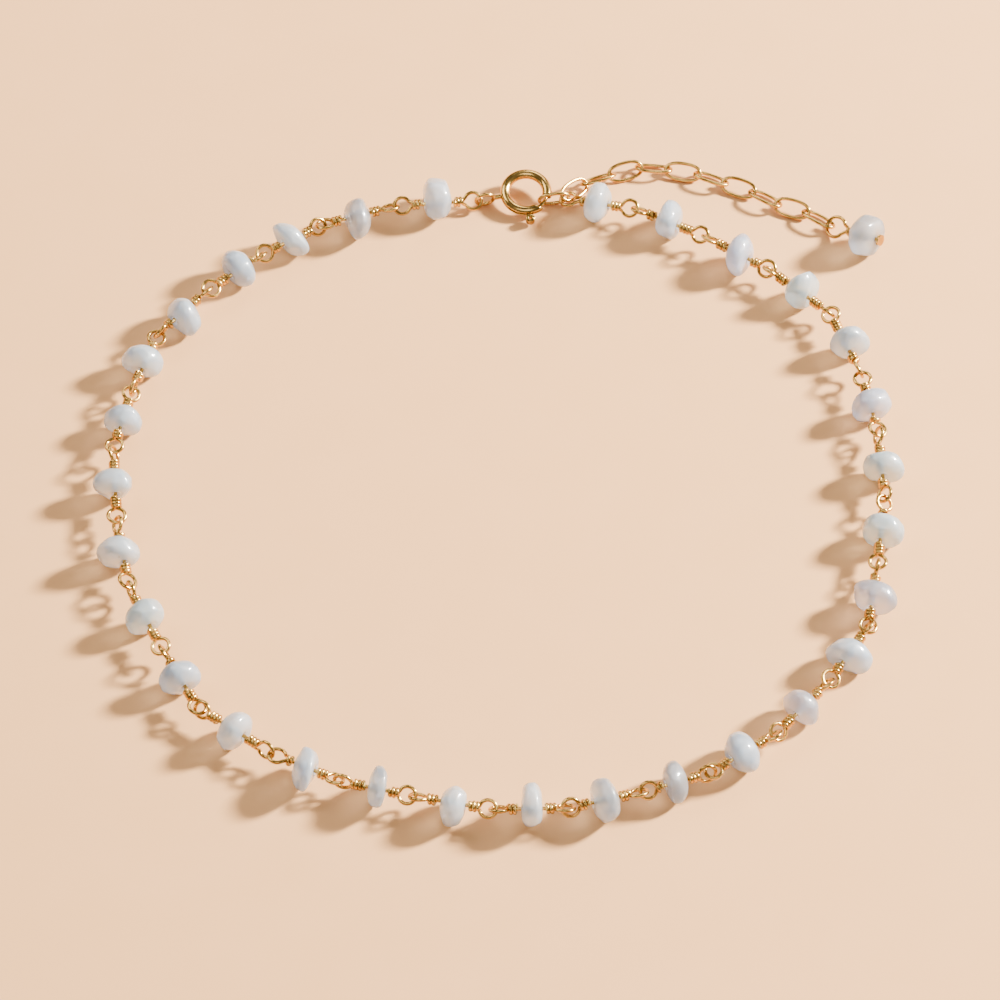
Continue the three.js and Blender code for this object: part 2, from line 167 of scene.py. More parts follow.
corners = [(-1, -1), (1, -1), (1, 1), (-1, 1)]
floor_mesh = bpy.data.meshes.new("floor")
floor_mesh.from_pydata(
    [(x * FLOOR_HALF, y * FLOOR_HALF, FLOOR_HEIGHT) for x, y in corners], [], [(0, 1, 2, 3)],
)
floor_mesh.materials.append(floor_finish())
floor = bpy.data.objects.new("floor", floor_mesh)
bpy.context.scene.collection.objects.link(floor)

world = bpy.data.worlds.new("room")
world.use_nodes = True
world.node_tree.nodes["Background"].inputs["Color"].default_value = ROOM_COLOUR
world.node_tree.nodes["Background"].inputs["Strength"].default_value = ROOM_STRENGTH
bpy.context.scene.world = world
lamp("key_lamp", colour=KEY_COLOUR, **KEY)
for number, panel in enumerate(PANELS):
    lamp(f"panel_{number}", *panel, PANEL_COLOUR)

camera = bpy.data.cameras.new("camera")
camera.lens = CAMERA_LENS
bpy.context.scene.camera = aimed(camera, -90, CAMERA_HEIGHT, CAMERA_FAR, CAMERA_TARGET)


# Clasp body
# A spring ring of polished gold-filled tube, bent round and left open at the mouth. A slot
# on its outer side lets the trigger's stem travel, and a closed wire ring is soldered to it
# by a short stub, standing across the clasp's plane.
CLASP = {"x": 2.77, "y": 36.94, "z": 1.3, "tilt": 9}
RING_RADIUS = 2.23
TUBE_RADIUS = 0.515
TUBE_WALL = 0.14
MOUTH = {"from": -57, "to": -13}
MOUTH_SLANT = 9
SLOT = {"from": -135, "to": -74, "half": 0.19}
END_RING = {"heading": 191, "middle": 4.44, "radius": 0.95, "wire": 0.42}
STUB_RADIUS = 0.27
GOLD_DEEP = (0.42, 0.24, 0.055, 1)
GOLD_PALE = (0.78, 0.49, 0.14, 1)
FACETS = 12


def gold_finish(name, roughness):
    """Gold-filled metal: a warm polish with faint drawing lines, rubs and small dents."""
    finish = Finish(name, {"Metallic": 1.0})
    place = finish.node("ShaderNodeTexCoord", {}, {}, 3)
    drawn = finish.node("ShaderNodeAttribute", {"attribute_name": "drawn"}, {}, 1)
    lines = finish.grain(drawn, 0.16, detail=3)
    rubs = finish.grain(place, 1.3 * MM, detail=4)
    dents = finish.grain(place, 0.45 * MM, detail=1)
    tone = finish.between(rubs * 0.7 + lines * 0.3, 0.32, 0.68)
    colour = finish.mixed(tone, GOLD_DEEP, GOLD_PALE)
    rough = roughness + 0.14 * finish.between(rubs, 0.45, 0.75) + 0.05 * lines
    dented = finish.bumped(dents, 0.012 * MM)
    return finish.shows(
        Base_Color=colour, Roughness=rough, Normal=finish.bumped(lines, 0.004 * MM, dented),
    )


GOLD_POLISHED = gold_finish("gold_polished", 0.14)
GOLD_WIRE = gold_finish("gold_wire", 0.18)


def piece(name, points, faces, material, body, nodes, drawn=None):
    """One piece of the anklet, from points in millimetres, standing for its CAD nodes."""
    mesh = bpy.data.meshes.new(name)
    mesh.from_pydata((np.asarray(points) * MM).tolist(), [], faces)
    mesh.validate()
    mesh.shade_smooth()
    mesh.materials.append(material)
    if drawn is not None:
        mesh.attributes.new("drawn", "FLOAT_VECTOR", "POINT").data.foreach_set(
            "vector", np.asarray(drawn, np.float32).ravel(),
        )
    made = bpy.data.objects.new(name, mesh)
    bpy.context.scene.collection.objects.link(made)
    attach(made, body)
    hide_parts(*nodes)
    return made


class Shell:
    """Points, faces and drawing directions of one piece, added part by part."""

    def __init__(self):
        self.points = []
        self.faces = []
        self.drawn = []

    def add(self, points, faces, drawn):
        first = sum(len(part) for part in self.points)
        self.points.append(np.asarray(points, float))
        self.drawn.append(np.asarray(drawn, float))
        self.faces.extend(tuple(first + corner for corner in face) for face in faces)

    def moved(self, turn, shift):
        self.points = [part @ np.asarray(turn).T + shift for part in self.points]
        return self

    def piece(self, name, material, body, slot, nodes):
        points, drawn = np.concatenate(self.points), np.concatenate(self.drawn)
        return piece(name, points, self.faces, material, body, nodes, drawn)


def unit(vector):
    return vector / np.linalg.norm(vector)


def smoothed(points, step):
    """A smooth curve through given points, sampled at even steps along it."""
    points = np.asarray(points, float)
    gaps = np.sqrt(np.linalg.norm(np.diff(points, axis=0), axis=1))
    knots = np.concatenate([[0], np.cumsum(gaps)])
    slopes = np.gradient(points, knots, axis=0)
    out = []
    for i, gap in enumerate(gaps):
        t = np.linspace(0, 1, 12, endpoint=False)[:, None]
        start = (1 + 2 * t) * (1 - t) ** 2 * points[i] + t * (1 - t) ** 2 * gap * slopes[i]
        finish = t * t * (3 - 2 * t) * points[i + 1] + t * t * (t - 1) * gap * slopes[i + 1]
        out.append(start + finish)
    curve = np.concatenate(out + [points[-1:]])
    along = np.concatenate([[0], np.cumsum(np.linalg.norm(np.diff(curve, axis=0), axis=1))])
    places = np.linspace(0, along[-1], max(4, int(along[-1] / step)))
    return np.stack([np.interp(places, along, curve[:, k]) for k in range(3)], axis=1)


def wire(shell, path, radius, closed=False, facets=FACETS, ends=0.6):
    """A round wire along a path of even steps, with rounded cut ends or closed on itself."""
    path = np.asarray(path, float)
    if closed:
        along = np.roll(path, -1, axis=0) - np.roll(path, 1, axis=0)
    else:
        along = np.gradient(path, axis=0)
    along /= np.linalg.norm(along, axis=1)[:, None]
    side = unit(np.cross(along[0], (0.31, 0.17, 0.94)))
    sides = []
    for direction in along:
        side = unit(side - direction * side.dot(direction))
        sides.append(side)
    radii = np.full(len(path), float(radius))
    if not closed:
        bend = ends * radius
        shrunk = np.array([0.0, 0.55, 0.86])
        tips = [path[0] - along[0] * bend * (1 - s) for s in shrunk]
        tails = [path[-1] + along[-1] * bend * (1 - s) for s in shrunk[::-1]]
        path = np.concatenate([tips, path, tails])
        along = np.concatenate([[along[0]] * 3, along, [along[-1]] * 3])
        sides = [sides[0]] * 3 + sides + [sides[-1]] * 3
        radii = np.concatenate([radius * shrunk, radii, radius * shrunk[::-1]])
        radii = np.maximum(radii, 0.02 * radius)
    angles = np.arange(facets) * 2 * math.pi / facets
    count = len(path)
    length = np.concatenate([[0], np.cumsum(np.linalg.norm(np.diff(path, axis=0), axis=1))])
    points, drawn = [], []
    twist = 0.0
    if closed:
        last = sides[-1] - along[0] * sides[-1].dot(along[0])
        twist = math.atan2(unit(last).dot(np.cross(along[0], sides[0])), unit(last).dot(sides[0]))
    for i in range(count):
        other = np.cross(along[i], sides[i])
        turned = angles - twist * i / count
        for angle, own in zip(turned, angles):
            out = math.cos(angle) * sides[i] + math.sin(angle) * other
            points.append(path[i] + radii[i] * out)
            drawn.append((math.cos(own), math.sin(own), length[i] / 4))
    faces = []
    for i in range(count if closed else count - 1):
        for k in range(facets):
            after, beside = (i + 1) % count, (k + 1) % facets
            faces.append((
                i * facets + k, i * facets + beside, after * facets + beside, after * facets + k,
            ))
    if not closed:
        faces.append(tuple(reversed(range(facets))))
        faces.append(tuple((count - 1) * facets + k for k in range(facets)))
    shell.add(points, faces, drawn)


def on_clasp(angle, radius, height=0.0):
    turn = math.radians(angle)
    return np.array([radius * math.cos(turn), radius * math.sin(turn), height])


def to_clasp(point):
    tilt = math.radians(CLASP["tilt"])
    x, y, z = point
    turned = (x, y * math.cos(tilt) - z * math.sin(tilt), y * math.sin(tilt) + z * math.cos(tilt))
    return np.array(turned) + (CLASP["x"], CLASP["y"], CLASP["z"])


def ring_tube(shell):
    """The bent tube: an outer and an inner skin, joined round the mouth's lips and the slot."""
    slot_angle = math.degrees(math.asin(SLOT["half"] / TUBE_RADIUS))
    lid = np.linspace(-slot_angle, slot_angle, 5)
    rest = np.linspace(slot_angle, 360 - slot_angle, 30)[1:-1]
    section = np.radians(np.concatenate([lid, rest]))
    start, end = MOUTH["to"], MOUTH["from"] + 360
    slot_from, slot_to = SLOT["from"] + 360, SLOT["to"] + 360
    stations = np.concatenate([
        np.linspace(start, slot_from, 76)[:-1],
        np.linspace(slot_from, slot_to, 22)[:-1],
        np.linspace(slot_to, end, 7),
    ])
    count, width = len(stations), len(section)
    points, drawn = [], []
    for skin, radius in enumerate((TUBE_RADIUS, TUBE_RADIUS - TUBE_WALL)):
        for i, station in enumerate(stations):
            from_mouth = min(i, count - 1 - i)
            round_off = 0.0 if from_mouth or skin else 0.03
            for angle in section:
                slant = MOUTH_SLANT * math.cos(angle) * max(0, 1 - (count - 1 - i) / 6)
                reach = RING_RADIUS + (radius - round_off) * math.cos(angle)
                height = (radius - round_off) * math.sin(angle)
                points.append(on_clasp(station + slant, reach, height))
                drawn.append((math.cos(angle), math.sin(angle), station / 90))
    faces = []
    half = count * width

    def open_here(i, k):
        middle = (stations[i] + stations[i + 1]) / 2
        return slot_from < middle < slot_to and k < len(lid) - 1

    for i in range(count - 1):
        for k in range(width):
            beside = (k + 1) % width
            a, b = i * width + k, i * width + beside
            c, d = (i + 1) * width + beside, (i + 1) * width + k
            if open_here(i, k):
                continue
            faces.append((a, d, c, b))
            faces.append((half + a, half + b, half + c, half + d))
            if k == width - 1 and open_here(i, 0):
                faces.append((b, c, half + c, half + b))
            if k == len(lid) - 1 and open_here(i, 0):
                faces.append((d, a, half + a, half + d))
    for k in range(width):
        beside = (k + 1) % width
        faces.append((k, beside, half + beside, half + k))
        last = (count - 1) * width
        faces.append((last + beside, last + k, half + last + k, half + last + beside))
    for k in range(len(lid) - 1):
        first = int(np.argmin(abs(stations - slot_from))) * width + k
        final = int(np.argmin(abs(stations - slot_to))) * width + k
        faces.append((first + 1, first, half + first, half + first + 1))
        faces.append((final, final + 1, half + final + 1, half + final))
    shell.add(points, faces, drawn)


def circle(middle, along, up, radius, count=64):
    turn = np.linspace(0, 2 * math.pi, count, endpoint=False)[:, None]
    return np.asarray(middle) + radius * (np.cos(turn) * along + np.sin(turn) * up)


clasp_turn = np.array([to_clasp(axis) - to_clasp((0, 0, 0)) for axis in np.eye(3)]).T
clasp_shift = to_clasp((0, 0, 0))

clasp = Shell()
ring_tube(clasp)
out = on_clasp(END_RING["heading"], 1.0)
wire(
    clasp, circle(out * END_RING["middle"], out, (0, 0, 1), END_RING["radius"]),
    END_RING["wire"] / 2, closed=True, facets=16,
)
stub_from = RING_RADIUS + TUBE_RADIUS * 0.8
stub_to = END_RING["middle"] - END_RING["radius"]
stub_path = np.linspace(out * stub_from, out * stub_to, 8)
wire(clasp, stub_path, STUB_RADIUS, facets=16)
clasp.moved(clasp_turn, clasp_shift).piece(
    "clasp_ring", GOLD_POLISHED, "anklet", "gold", ["clasp_body"],
)


# Clasp trigger
# A curved wire tongue that slides in the tube against a coil spring and closes the mouth. A
# short stem comes out through the slot and ends in a small round knob with a pierced middle.
TONGUE = {"tip": -8, "tail": -106, "radius": 0.2}
KNOB = {"angle": -82, "reach": 1.1, "radius": 0.5, "hole": 0.14, "height": 0.8, "stem": 0.12}

trigger = Shell()
tongue_path = [
    on_clasp(angle, RING_RADIUS) for angle in np.linspace(TONGUE["tail"], TONGUE["tip"], 60)
]
wire(trigger, tongue_path, TONGUE["radius"], facets=16)
stem_out = on_clasp(KNOB["angle"], 1.0)
stem_path = np.linspace(stem_out * RING_RADIUS, stem_out * (RING_RADIUS + KNOB["reach"] - 0.2), 8)
wire(trigger, stem_path, KNOB["stem"], facets=12)


def turned_ring(shell, profile, middle, axis, count=32):
    """A closed outline of (radius, height) pairs turned about an axis through middle."""
    axis = unit(np.asarray(axis, float))
    first = unit(np.cross(axis, (0.9, 0.3, 0.1)))
    second = np.cross(axis, first)
    rows = len(profile)
    points, drawn, faces = [], [], []
    for i in range(count):
        turn = 2 * math.pi * i / count
        outward = math.cos(turn) * first + math.sin(turn) * second
        for radius, height in profile:
            points.append(middle + radius * outward + height * axis)
            drawn.append((math.cos(turn), math.sin(turn), height / 4))
        after = (i + 1) % count
        for k in range(rows):
            beside = (k + 1) % rows
            faces.append((i * rows + k, after * rows + k, after * rows + beside, i * rows + beside))
    shell.add(points, faces, drawn)


def rounded_box(inner, outer, low, high, soft):
    """The outline of a turned ring with rounded edges, counter-clockwise."""
    profile = []
    for middle_radius, middle_height, start in (
        (outer - soft, high - soft, 0), (inner + soft, high - soft, 90),
        (inner + soft, low + soft, 180), (outer - soft, low + soft, 270),
    ):
        for step in range(5):
            turn = math.radians(start + 22.5 * step)
            radius = middle_radius + soft * math.cos(turn)
            profile.append((radius, middle_height + soft * math.sin(turn)))
    return profile


half = KNOB["height"] / 2
knob_profile = rounded_box(KNOB["hole"], KNOB["radius"], -half, half, 0.13)
turned_ring(trigger, knob_profile, stem_out * (RING_RADIUS + KNOB["reach"]), (0, 0, 1))
trigger.moved(clasp_turn, clasp_shift).piece(
    "clasp_tongue", GOLD_POLISHED, "trigger", "gold", ["clasp_trigger"],
)


# Wrapped wire links
# Each bead has its own piece of soft gold wire. It is bent into an eye on one side of the
# bead, goes through the drilled hole, is bent into an eye on the other side, and both tails
# are wound back towards the bead. The eyes hook into each other, so the loop stays loose.
WIRE = 0.38
WIRE_GAUGE = 0.192
AXIS_HEIGHT = 2.05
COIL_PITCH = 0.38
COIL_TO_BEAD = 0.08
EYE_RADIUS = 0.86
HOOKED = 0.2
FREE = 0.34
NECK_ANGLE = 30
PATH_STEP = 0.085
WRAP_START = 0.35 * math.pi
WRAP_SWEEP = (0.4, 1.8)
# One row for each link, from the clasp's left. Heading and length run from hook to hook, shift
# moves the bead along the wire, and thick, wide and tall are its size along, across and above
# the wire. The turns and rolls are the wraps and the eyes' planes on both sides.
COLUMNS = (
    "heading length shift thick wide tall lean skew pear lobe side "
    "turnsA turnsB rollA rollB"
).split()
ROWS = [
    (190, 8.8, 0.0, 2.9, 4.7, 4.3, 4, 4, 0.05, 0.03, -0.3, 3, 3, 30, 40),
    (198, 8.2, 0.3, 2.7, 4.6, 4.2, -6, 8, 0.1, -0.03, 0.5, 3, 3, -32, -22),
    (213, 7.5, 0.0, 2.3, 4.3, 4.0, 14, -14, 0.0, 0.0, -0.2, 3, 3, 50, 35),
    (221, 7.2, -0.7, 2.6, 4.4, 4.1, 4, 0, 0.1, 0.02, -0.3, 1, 4, -45, 20),
    (229, 7.4, 0.2, 2.7, 4.3, 4.0, 0, 10, -0.1, 0.06, 0.4, 3, 2, -58, -70),
    (252, 7.8, -0.1, 2.8, 4.4, 4.0, 0, -6, 0.05, 0.04, -0.4, 2, 3, 10, -88),
    (258, 7.5, 0.0, 2.5, 4.0, 3.8, -4, 0, 0.1, 0.0, 0.0, 3, 3, 20, 0),
    (275, 8.9, 0.1, 2.6, 4.0, 3.8, 0, 4, 0.25, -0.06, -0.2, 4, 4, 66, 5),
    (281, 8.1, -0.1, 2.9, 4.4, 4.1, 5, 6, 0.0, 0.05, -0.5, 2, 3, -62, 30),
    (296, 8.3, 0.0, 2.8, 4.2, 4.1, 0, -4, 0.0, 0.0, 0.0, 3, 4, -80, -15),
    (299, 7.9, 0.0, 2.8, 4.3, 4.0, 0, 6, 0.05, 0.03, 0.0, 2, 4, 68, 15),
    (324, 9.1, -0.1, 2.8, 4.2, 4.1, 8, 0, -0.25, 0.06, 0.1, 4, 4, -55, -68),
    (335, 7.4, 0.0, 2.2, 4.6, 4.2, 14, -18, 0.0, 0.0, -0.2, 2, 3, 8, 29),
    (346, 7.3, 0.1, 1.8, 4.4, 4.1, 12, -12, 0.05, 0.0, 0.3, 4, 3, -82, -33),
    (349, 7.8, 0.1, 2.6, 4.1, 4.0, 6, 2, -0.1, 0.03, -0.2, 3, 3, 41, -35),
    (1, 7.3, 0.2, 2.1, 4.5, 4.3, 0, 0, 0.0, 0.0, 0.4, 3, 3, 43, 40),
    (14, 7.6, -0.1, 2.5, 4.6, 4.3, 5, -4, 0.05, 0.0, 0.0, 3, 3, -45, 38),
    (18, 6.8, -0.1, 2.2, 4.3, 4.0, -8, 10, 0.1, 0.04, 0.3, 2, 3, -50, -66),
    (34, 7.9, 0.0, 2.9, 4.5, 4.1, -8, 8, 0.0, 0.02, 0.2, 3, 3, 4, 45),
    (48, 7.9, 0.2, 2.7, 4.1, 4.0, 0, 0, 0.0, 0.05, 0.3, 4, 3, -35, 55),
    (57, 7.8, 0.2, 2.8, 4.6, 4.0, 0, -8, -0.05, 0.06, -0.1, 3, 3, -25, 62),
    (80, 7.7, -0.2, 2.8, 4.6, 4.1, 0, 4, 0.0, -0.04, -0.3, 3, 3, -12, 85),
    (82, 8.1, 0.1, 2.9, 4.3, 4.1, 4, 0, 0.05, 0.0, -0.2, 4, 2, 5, -30),
    (92, 8.4, -0.3, 2.7, 4.4, 4.0, 0, 6, 0.0, 0.03, -0.2, 3, 3, 45, 67),
    (101, 7.3, -0.4, 2.7, 4.5, 4.0, 0, -8, 0.1, 0.04, -0.2, 2, 3, -20, 5),
    (110, 8.3, 0.1, 2.8, 4.2, 4.1, 0, 8, -0.1, 0.08, -0.5, 3, 4, -68, 22),
    (137, 8.4, 0.1, 2.8, 4.3, 4.1, 8, 0, -0.2, 0.05, -0.6, 4, 4, -58, -48),
    (146, 7.9, -0.3, 2.4, 4.5, 4.1, 10, -10, 0.0, 0.0, 0.0, 3, 4, 30, -42),
    (153, 8.2, 0.3, 2.4, 4.4, 4.2, 8, -8, -0.1, 0.05, -0.5, 4, 3, 33, -38),
    (163, 7.9, 0.1, 2.4, 4.6, 4.2, -4, 4, 0.0, 0.02, 0.4, 3, 2, 35, 5),
]
JOINING = {"length": 3.5, "width": 2.12, "heading": 7, "slope": 3, "roll": 84}
OVAL = {"length": 4.1, "width": 2.15, "wire": 0.38}
TONGUE_HOLD = {"angle": -32, "radius": 1.66, "height": 1.03}
LAST_HOOK = {"back": 0.46, "above": -0.25}


def heading_of(heading, slope=0.0):
    turn, rise = math.radians(heading), math.radians(slope)
    return np.array([
        math.cos(rise) * math.cos(turn), math.cos(rise) * math.sin(turn), math.sin(rise),
    ])


def turn_to(along, roll=0.0):
    """A turn that lays X along a wire, with Y to its left and Z above, rolled about it."""
    along = unit(along)
    left = unit(np.cross((0, 0, 1), along))
    above = np.cross(along, left)
    lean = -math.radians(roll)
    rolled_left = math.cos(lean) * left + math.sin(lean) * above
    return np.stack([along, rolled_left, np.cross(along, rolled_left)], axis=1)


def hooks_of(rows, start, finish):
    """Where each two eyes hang in each other, walked from the clasp all round the loop."""
    hooks = [start]
    for row in rows:
        hooks.append(hooks[-1] + heading_of(row["heading"]) * row["length"])
    miss = finish - hooks[-1]
    hooks = [hook + miss * i / len(rows) for i, hook in enumerate(hooks)]
    for hook in hooks[1:-1]:
        hook[2] = AXIS_HEIGHT
    return hooks


def wrapped_eye(coil_end, reach, hook, radius, turns, chance):
    """One side of a link, from its straight wire out round the eye and back in the wraps."""
    radius = radius * chance.uniform(0.95, 1.04)
    middle = max(reach + hook - radius, radius * 1.04)
    lean = min(math.acos(radius / middle), math.radians(NECK_ANGLE))
    points = [(coil_end - 0.9, 0, 0), (coil_end - 0.45, 0, 0), (coil_end - 0.08, 0.0, 0)]
    warp = chance.uniform(-0.05, 0.05)
    for turn in np.linspace(math.pi - lean, lean - math.pi, 17):
        x = coil_end + middle + radius * math.cos(turn)
        points.append((x, radius * math.sin(turn), warp * math.sin(2 * turn)))
    sweep = max(turns - 1, 0.3) * 2 * math.pi + chance.uniform(*WRAP_SWEEP)
    wound = 0.5 * WIRE + WIRE_GAUGE
    for turn in np.arange(WRAP_START, WRAP_START + sweep, math.pi / 6):
        back = COIL_PITCH * (turn - WRAP_START) / (2 * math.pi)
        loose = wound * (1 + 0.03 * math.sin(3.1 * turn + 40 * warp))
        x = coil_end - 0.06 - back * chance.uniform(0.985, 1.015)
        points.append((x, -loose * math.cos(turn), loose * math.sin(turn)))
    return np.array(points)


def rolled(points, roll, flip=1):
    """Turns one side of a link about its wire, and to the far side where flip is -1."""
    lean = -math.radians(roll)
    x, y, z = (points * (flip, flip, 1)).T
    return np.stack([
        x, y * math.cos(lean) - z * math.sin(lean), y * math.sin(lean) + z * math.cos(lean),
    ], axis=1)


links = [dict(zip(COLUMNS, row)) for row in ROWS]
ring_inside = END_RING["middle"] + END_RING["radius"] - END_RING["wire"] / 2
first_hook = to_clasp(on_clasp(END_RING["heading"], ring_inside))
tongue_hold = to_clasp(on_clasp(TONGUE_HOLD["angle"], TONGUE_HOLD["radius"]))
tongue_hold[2] = TONGUE_HOLD["height"]
joining_along = heading_of(JOINING["heading"], JOINING["slope"])
joining_end = tongue_hold + joining_along * (JOINING["length"] - OVAL["wire"])
last_hook = joining_end - joining_along * LAST_HOOK["back"] + (0, 0, LAST_HOOK["above"])
hooks = hooks_of(links, first_hook, last_hook)

for number, link in enumerate(links, 1):
    chance = np.random.default_rng(500 + number)
    start, finish = hooks[number - 1], hooks[number]
    link["along"] = finish - start
    length = float(np.linalg.norm(link["along"]))
    link["middle"] = start + (finish - start) * (0.5 + link["shift"] / length)
    face = link["thick"] / 2 + COIL_TO_BEAD
    sides = []
    for key, flip, hook in (
        ("A", -1, FREE if number == 1 else HOOKED),
        ("B", 1, FREE if number == len(links) else HOOKED),
    ):
        coil_end = face + link["turns" + key] * COIL_PITCH
        reach = length / 2 - flip * link["shift"] - coil_end
        eye = wrapped_eye(coil_end, reach, hook, EYE_RADIUS, link["turns" + key], chance)
        sides.append(rolled(eye, link["roll" + key], flip))
    path = smoothed(np.concatenate([sides[0][::-1], sides[1]]), PATH_STEP)
    shell = Shell()
    wire(shell, path, WIRE_GAUGE)
    node = "wires_left" if number <= len(links) // 2 else "wires_right"
    shell.moved(turn_to(link["along"]), link["middle"]).piece(
        f"wire_link_{number:02d}", GOLD_WIRE, "anklet", "gold", [node],
    )


# Stone beads
# Thirty tumbled chips of a milky, icy blue stone, each drilled through its thin way and
# threaded on its own link. They are rounded by tumbling, no two alike, with soft flats,
# cloudy veils inside and here and there a dark grain; they stand on their lowest rim.
BORE = 0.27
BEAD_FILL = 0.985
BEAD_ROUND = 60
BEAD_ACROSS = 26
FLATS = 7
FLAT_FROM = 0.88
FLAT_PRESS = 0.5
LUMP = 0.16
LUMP_FINE = 0.05
STONE_VEIL = (0.84, 0.87, 0.90, 1)
STONE_BRIGHT = (0.88, 0.93, 0.95, 1)
STONE_SPECK = (0.20, 0.19, 0.20, 1)
STONE_FROST = (0.86, 0.87, 0.88, 1)
TINTS = {
    "icy": (0.57, 0.68, 0.80),
    "pale": (0.64, 0.74, 0.83),
    "green": (0.60, 0.72, 0.77),
    "lilac": (0.61, 0.67, 0.82),
    "grey": (0.52, 0.60, 0.70),
}
STONES = (
    # tint, specks, boxiness
    ("icy", 0.7, 2.6), ("grey", 0.8, 2.1), ("pale", 0.1, 2.3), ("icy", 0.0, 2.3),
    ("icy", 0.1, 2.4), ("pale", 0.6, 2.2), ("icy", 0.1, 2.2), ("pale", 0.1, 2.2),
    ("pale", 0.9, 2.3), ("green", 0.1, 2.2), ("icy", 0.2, 2.3), ("pale", 0.2, 2.1),
    ("icy", 0.0, 2.5), ("icy", 0.1, 2.4), ("pale", 0.1, 2.2), ("pale", 0.0, 2.8),
    ("icy", 0.7, 2.3), ("grey", 0.8, 2.3), ("icy", 0.2, 2.5), ("lilac", 0.2, 1.9),
    ("icy", 0.1, 2.4), ("lilac", 0.2, 2.3), ("green", 0.0, 2.4), ("green", 0.1, 2.2),
    ("lilac", 0.1, 2.2), ("pale", 0.2, 2.0), ("green", 0.1, 2.1), ("lilac", 0.1, 2.4),
    ("icy", 0.1, 2.5), ("pale", 0.1, 2.4),
)


def stone_finish(name, clear):
    """Translucent stone: light goes in and comes out milky, under a soft tumbled polish."""
    finish = Finish(name, {
        "Subsurface Weight": 1.0, "Subsurface Scale": 1.7 * MM,
        "Subsurface Radius": (1.0, 1.1, 1.2), "IOR": 1.57, "Transmission Weight": clear,
        "Coat Roughness": 0.1, "Coat IOR": 1.5,
    })
    place = finish.node("ShaderNodeTexCoord", {}, {}, 3)
    tint = finish.node("ShaderNodeAttribute", {"attribute_name": "tint"}, {})
    specks = finish.node("ShaderNodeAttribute", {"attribute_name": "specks"}, {}, 2)
    drilled = finish.node("ShaderNodeAttribute", {"attribute_name": "drilled"}, {}, 2)
    cloud = finish.grain(place, 1.9 * MM, detail=4, roughness=0.6)
    veil = finish.between(finish.grain(place, 0.8 * MM, detail=5, roughness=0.65), 0.5, 0.72)
    grains = finish.between(finish.grain(place, 0.42 * MM, detail=3), 0.66, 0.74)
    patches = finish.between(finish.grain(place, 1.6 * MM, detail=1), 0.44, 0.6)
    milky = finish.mixed(finish.between(cloud, 0.3, 0.75) * 0.2, tint, STONE_VEIL)
    veiled = finish.mixed(veil * 0.1, milky, STONE_BRIGHT)
    speckled = finish.mixed(grains * patches * specks, veiled, STONE_SPECK)
    frosted = finish.mixed(drilled * 0.6, speckled, STONE_FROST)
    fine = finish.grain(place, 0.12 * MM, detail=2)
    soft = finish.grain(place, 0.9 * MM, detail=2)
    rough = 0.42 + 0.14 * finish.between(cloud, 0.35, 0.7) + 0.3 * drilled
    pitted = finish.bumped(fine, 0.004 * MM, finish.bumped(soft, 0.03 * MM))
    return finish.shows(
        Base_Color=frosted, Roughness=rough, Coat_Weight=0.3 + 0.7 * (1 - drilled), Normal=pitted,
    )


STONE_MILKY = stone_finish("stone_milky", 0.66)
STONE_CLEAR = stone_finish("stone_clear", 0.84)
CLEARER = (2, 14, 17, 18, 20, 22)


def pebble(size, boxiness, along, middle, chance):
    """A drilled chip: points round its wire, pressed into soft flats and gently uneven."""
    turn = turn_to(along)
    across = np.radians(np.linspace(-86, 86, BEAD_ACROSS))
    shares = np.cos(across) ** (2 / boxiness)
    depths = np.sign(across) * abs(np.sin(across)) ** (2 / boxiness) * size["thick"] / 2
    shares = (shares - shares[0]) / (shares.max() - shares[0])
    edge = 1 - 0.16 * np.exp(-((shares / 0.16) ** 2))
    drift = chance.uniform(-50, 50, 3)
    flats = [unit(chance.normal(size=3)) for _ in range(FLATS)]
    skew, lean = math.tan(math.radians(size["skew"])), math.tan(math.radians(size["lean"]))
    points, drilled = [], []
    for i in range(BEAD_ROUND):
        angle = 2 * math.pi * i / BEAD_ROUND
        swell = 1 + size["lobe"] * math.cos(3 * angle)
        for share, depth, eased in zip(shares, depths, edge):
            wide = BORE + (size["wide"] / 2 * BEAD_FILL * swell - BORE) * share
            tall = BORE + (size["tall"] / 2 * BEAD_FILL * swell - BORE) * share
            y, z = wide * math.sin(angle), tall * math.cos(angle)
            tipped = y * skew + z * lean
            thicker = 1 + size["pear"] * share * math.cos(angle)
            x = depth * eased * thicker + share * tipped
            points.append((x, y + share * size["side"], z))
            drilled.append(max(0.0, 1 - share / 0.12))
    points = np.array(points)
    centre = points.mean(axis=0)
    shaped = points - centre
    fade = np.clip((np.linalg.norm(points[:, 1:], axis=1) - BORE) / 0.9, 0, 1)
    for flat in flats:
        high = shaped @ flat
        over = np.maximum(0, high - FLAT_FROM * high.max())
        shaped -= (over * FLAT_PRESS * fade)[:, None] * flat
    for k, point in enumerate(shaped):
        at = Vector(point * 0.55 + drift)
        lump = LUMP * noise.noise(at) + LUMP_FINE * noise.noise(at * 2.7)
        shaped[k] += unit(point) * lump * fade[k]
    points = shaped + centre
    rim = depths[-1] * edge[-1]
    inside = []
    for i in range(BEAD_ROUND):
        angle = 2 * math.pi * i / BEAD_ROUND
        for share in (0.6, 0.0, -0.6):
            inside.append((share * rim, BORE * math.sin(angle), BORE * math.cos(angle)))
    points = np.concatenate([points, inside])
    drilled = drilled + [1.0] * len(inside)
    faces = []
    first = BEAD_ROUND * BEAD_ACROSS

    def outline(i):
        outer = range(i * BEAD_ACROSS, (i + 1) * BEAD_ACROSS)
        return [*outer, *range(first + i * 3, first + i * 3 + 3)]

    for i in range(BEAD_ROUND):
        here, there = outline(i), outline((i + 1) % BEAD_ROUND)
        for k in range(len(here)):
            beside = (k + 1) % len(here)
            faces.append((here[k], here[beside], there[beside], there[k]))
    placed = points @ turn.T + middle
    return placed, points, faces, drilled


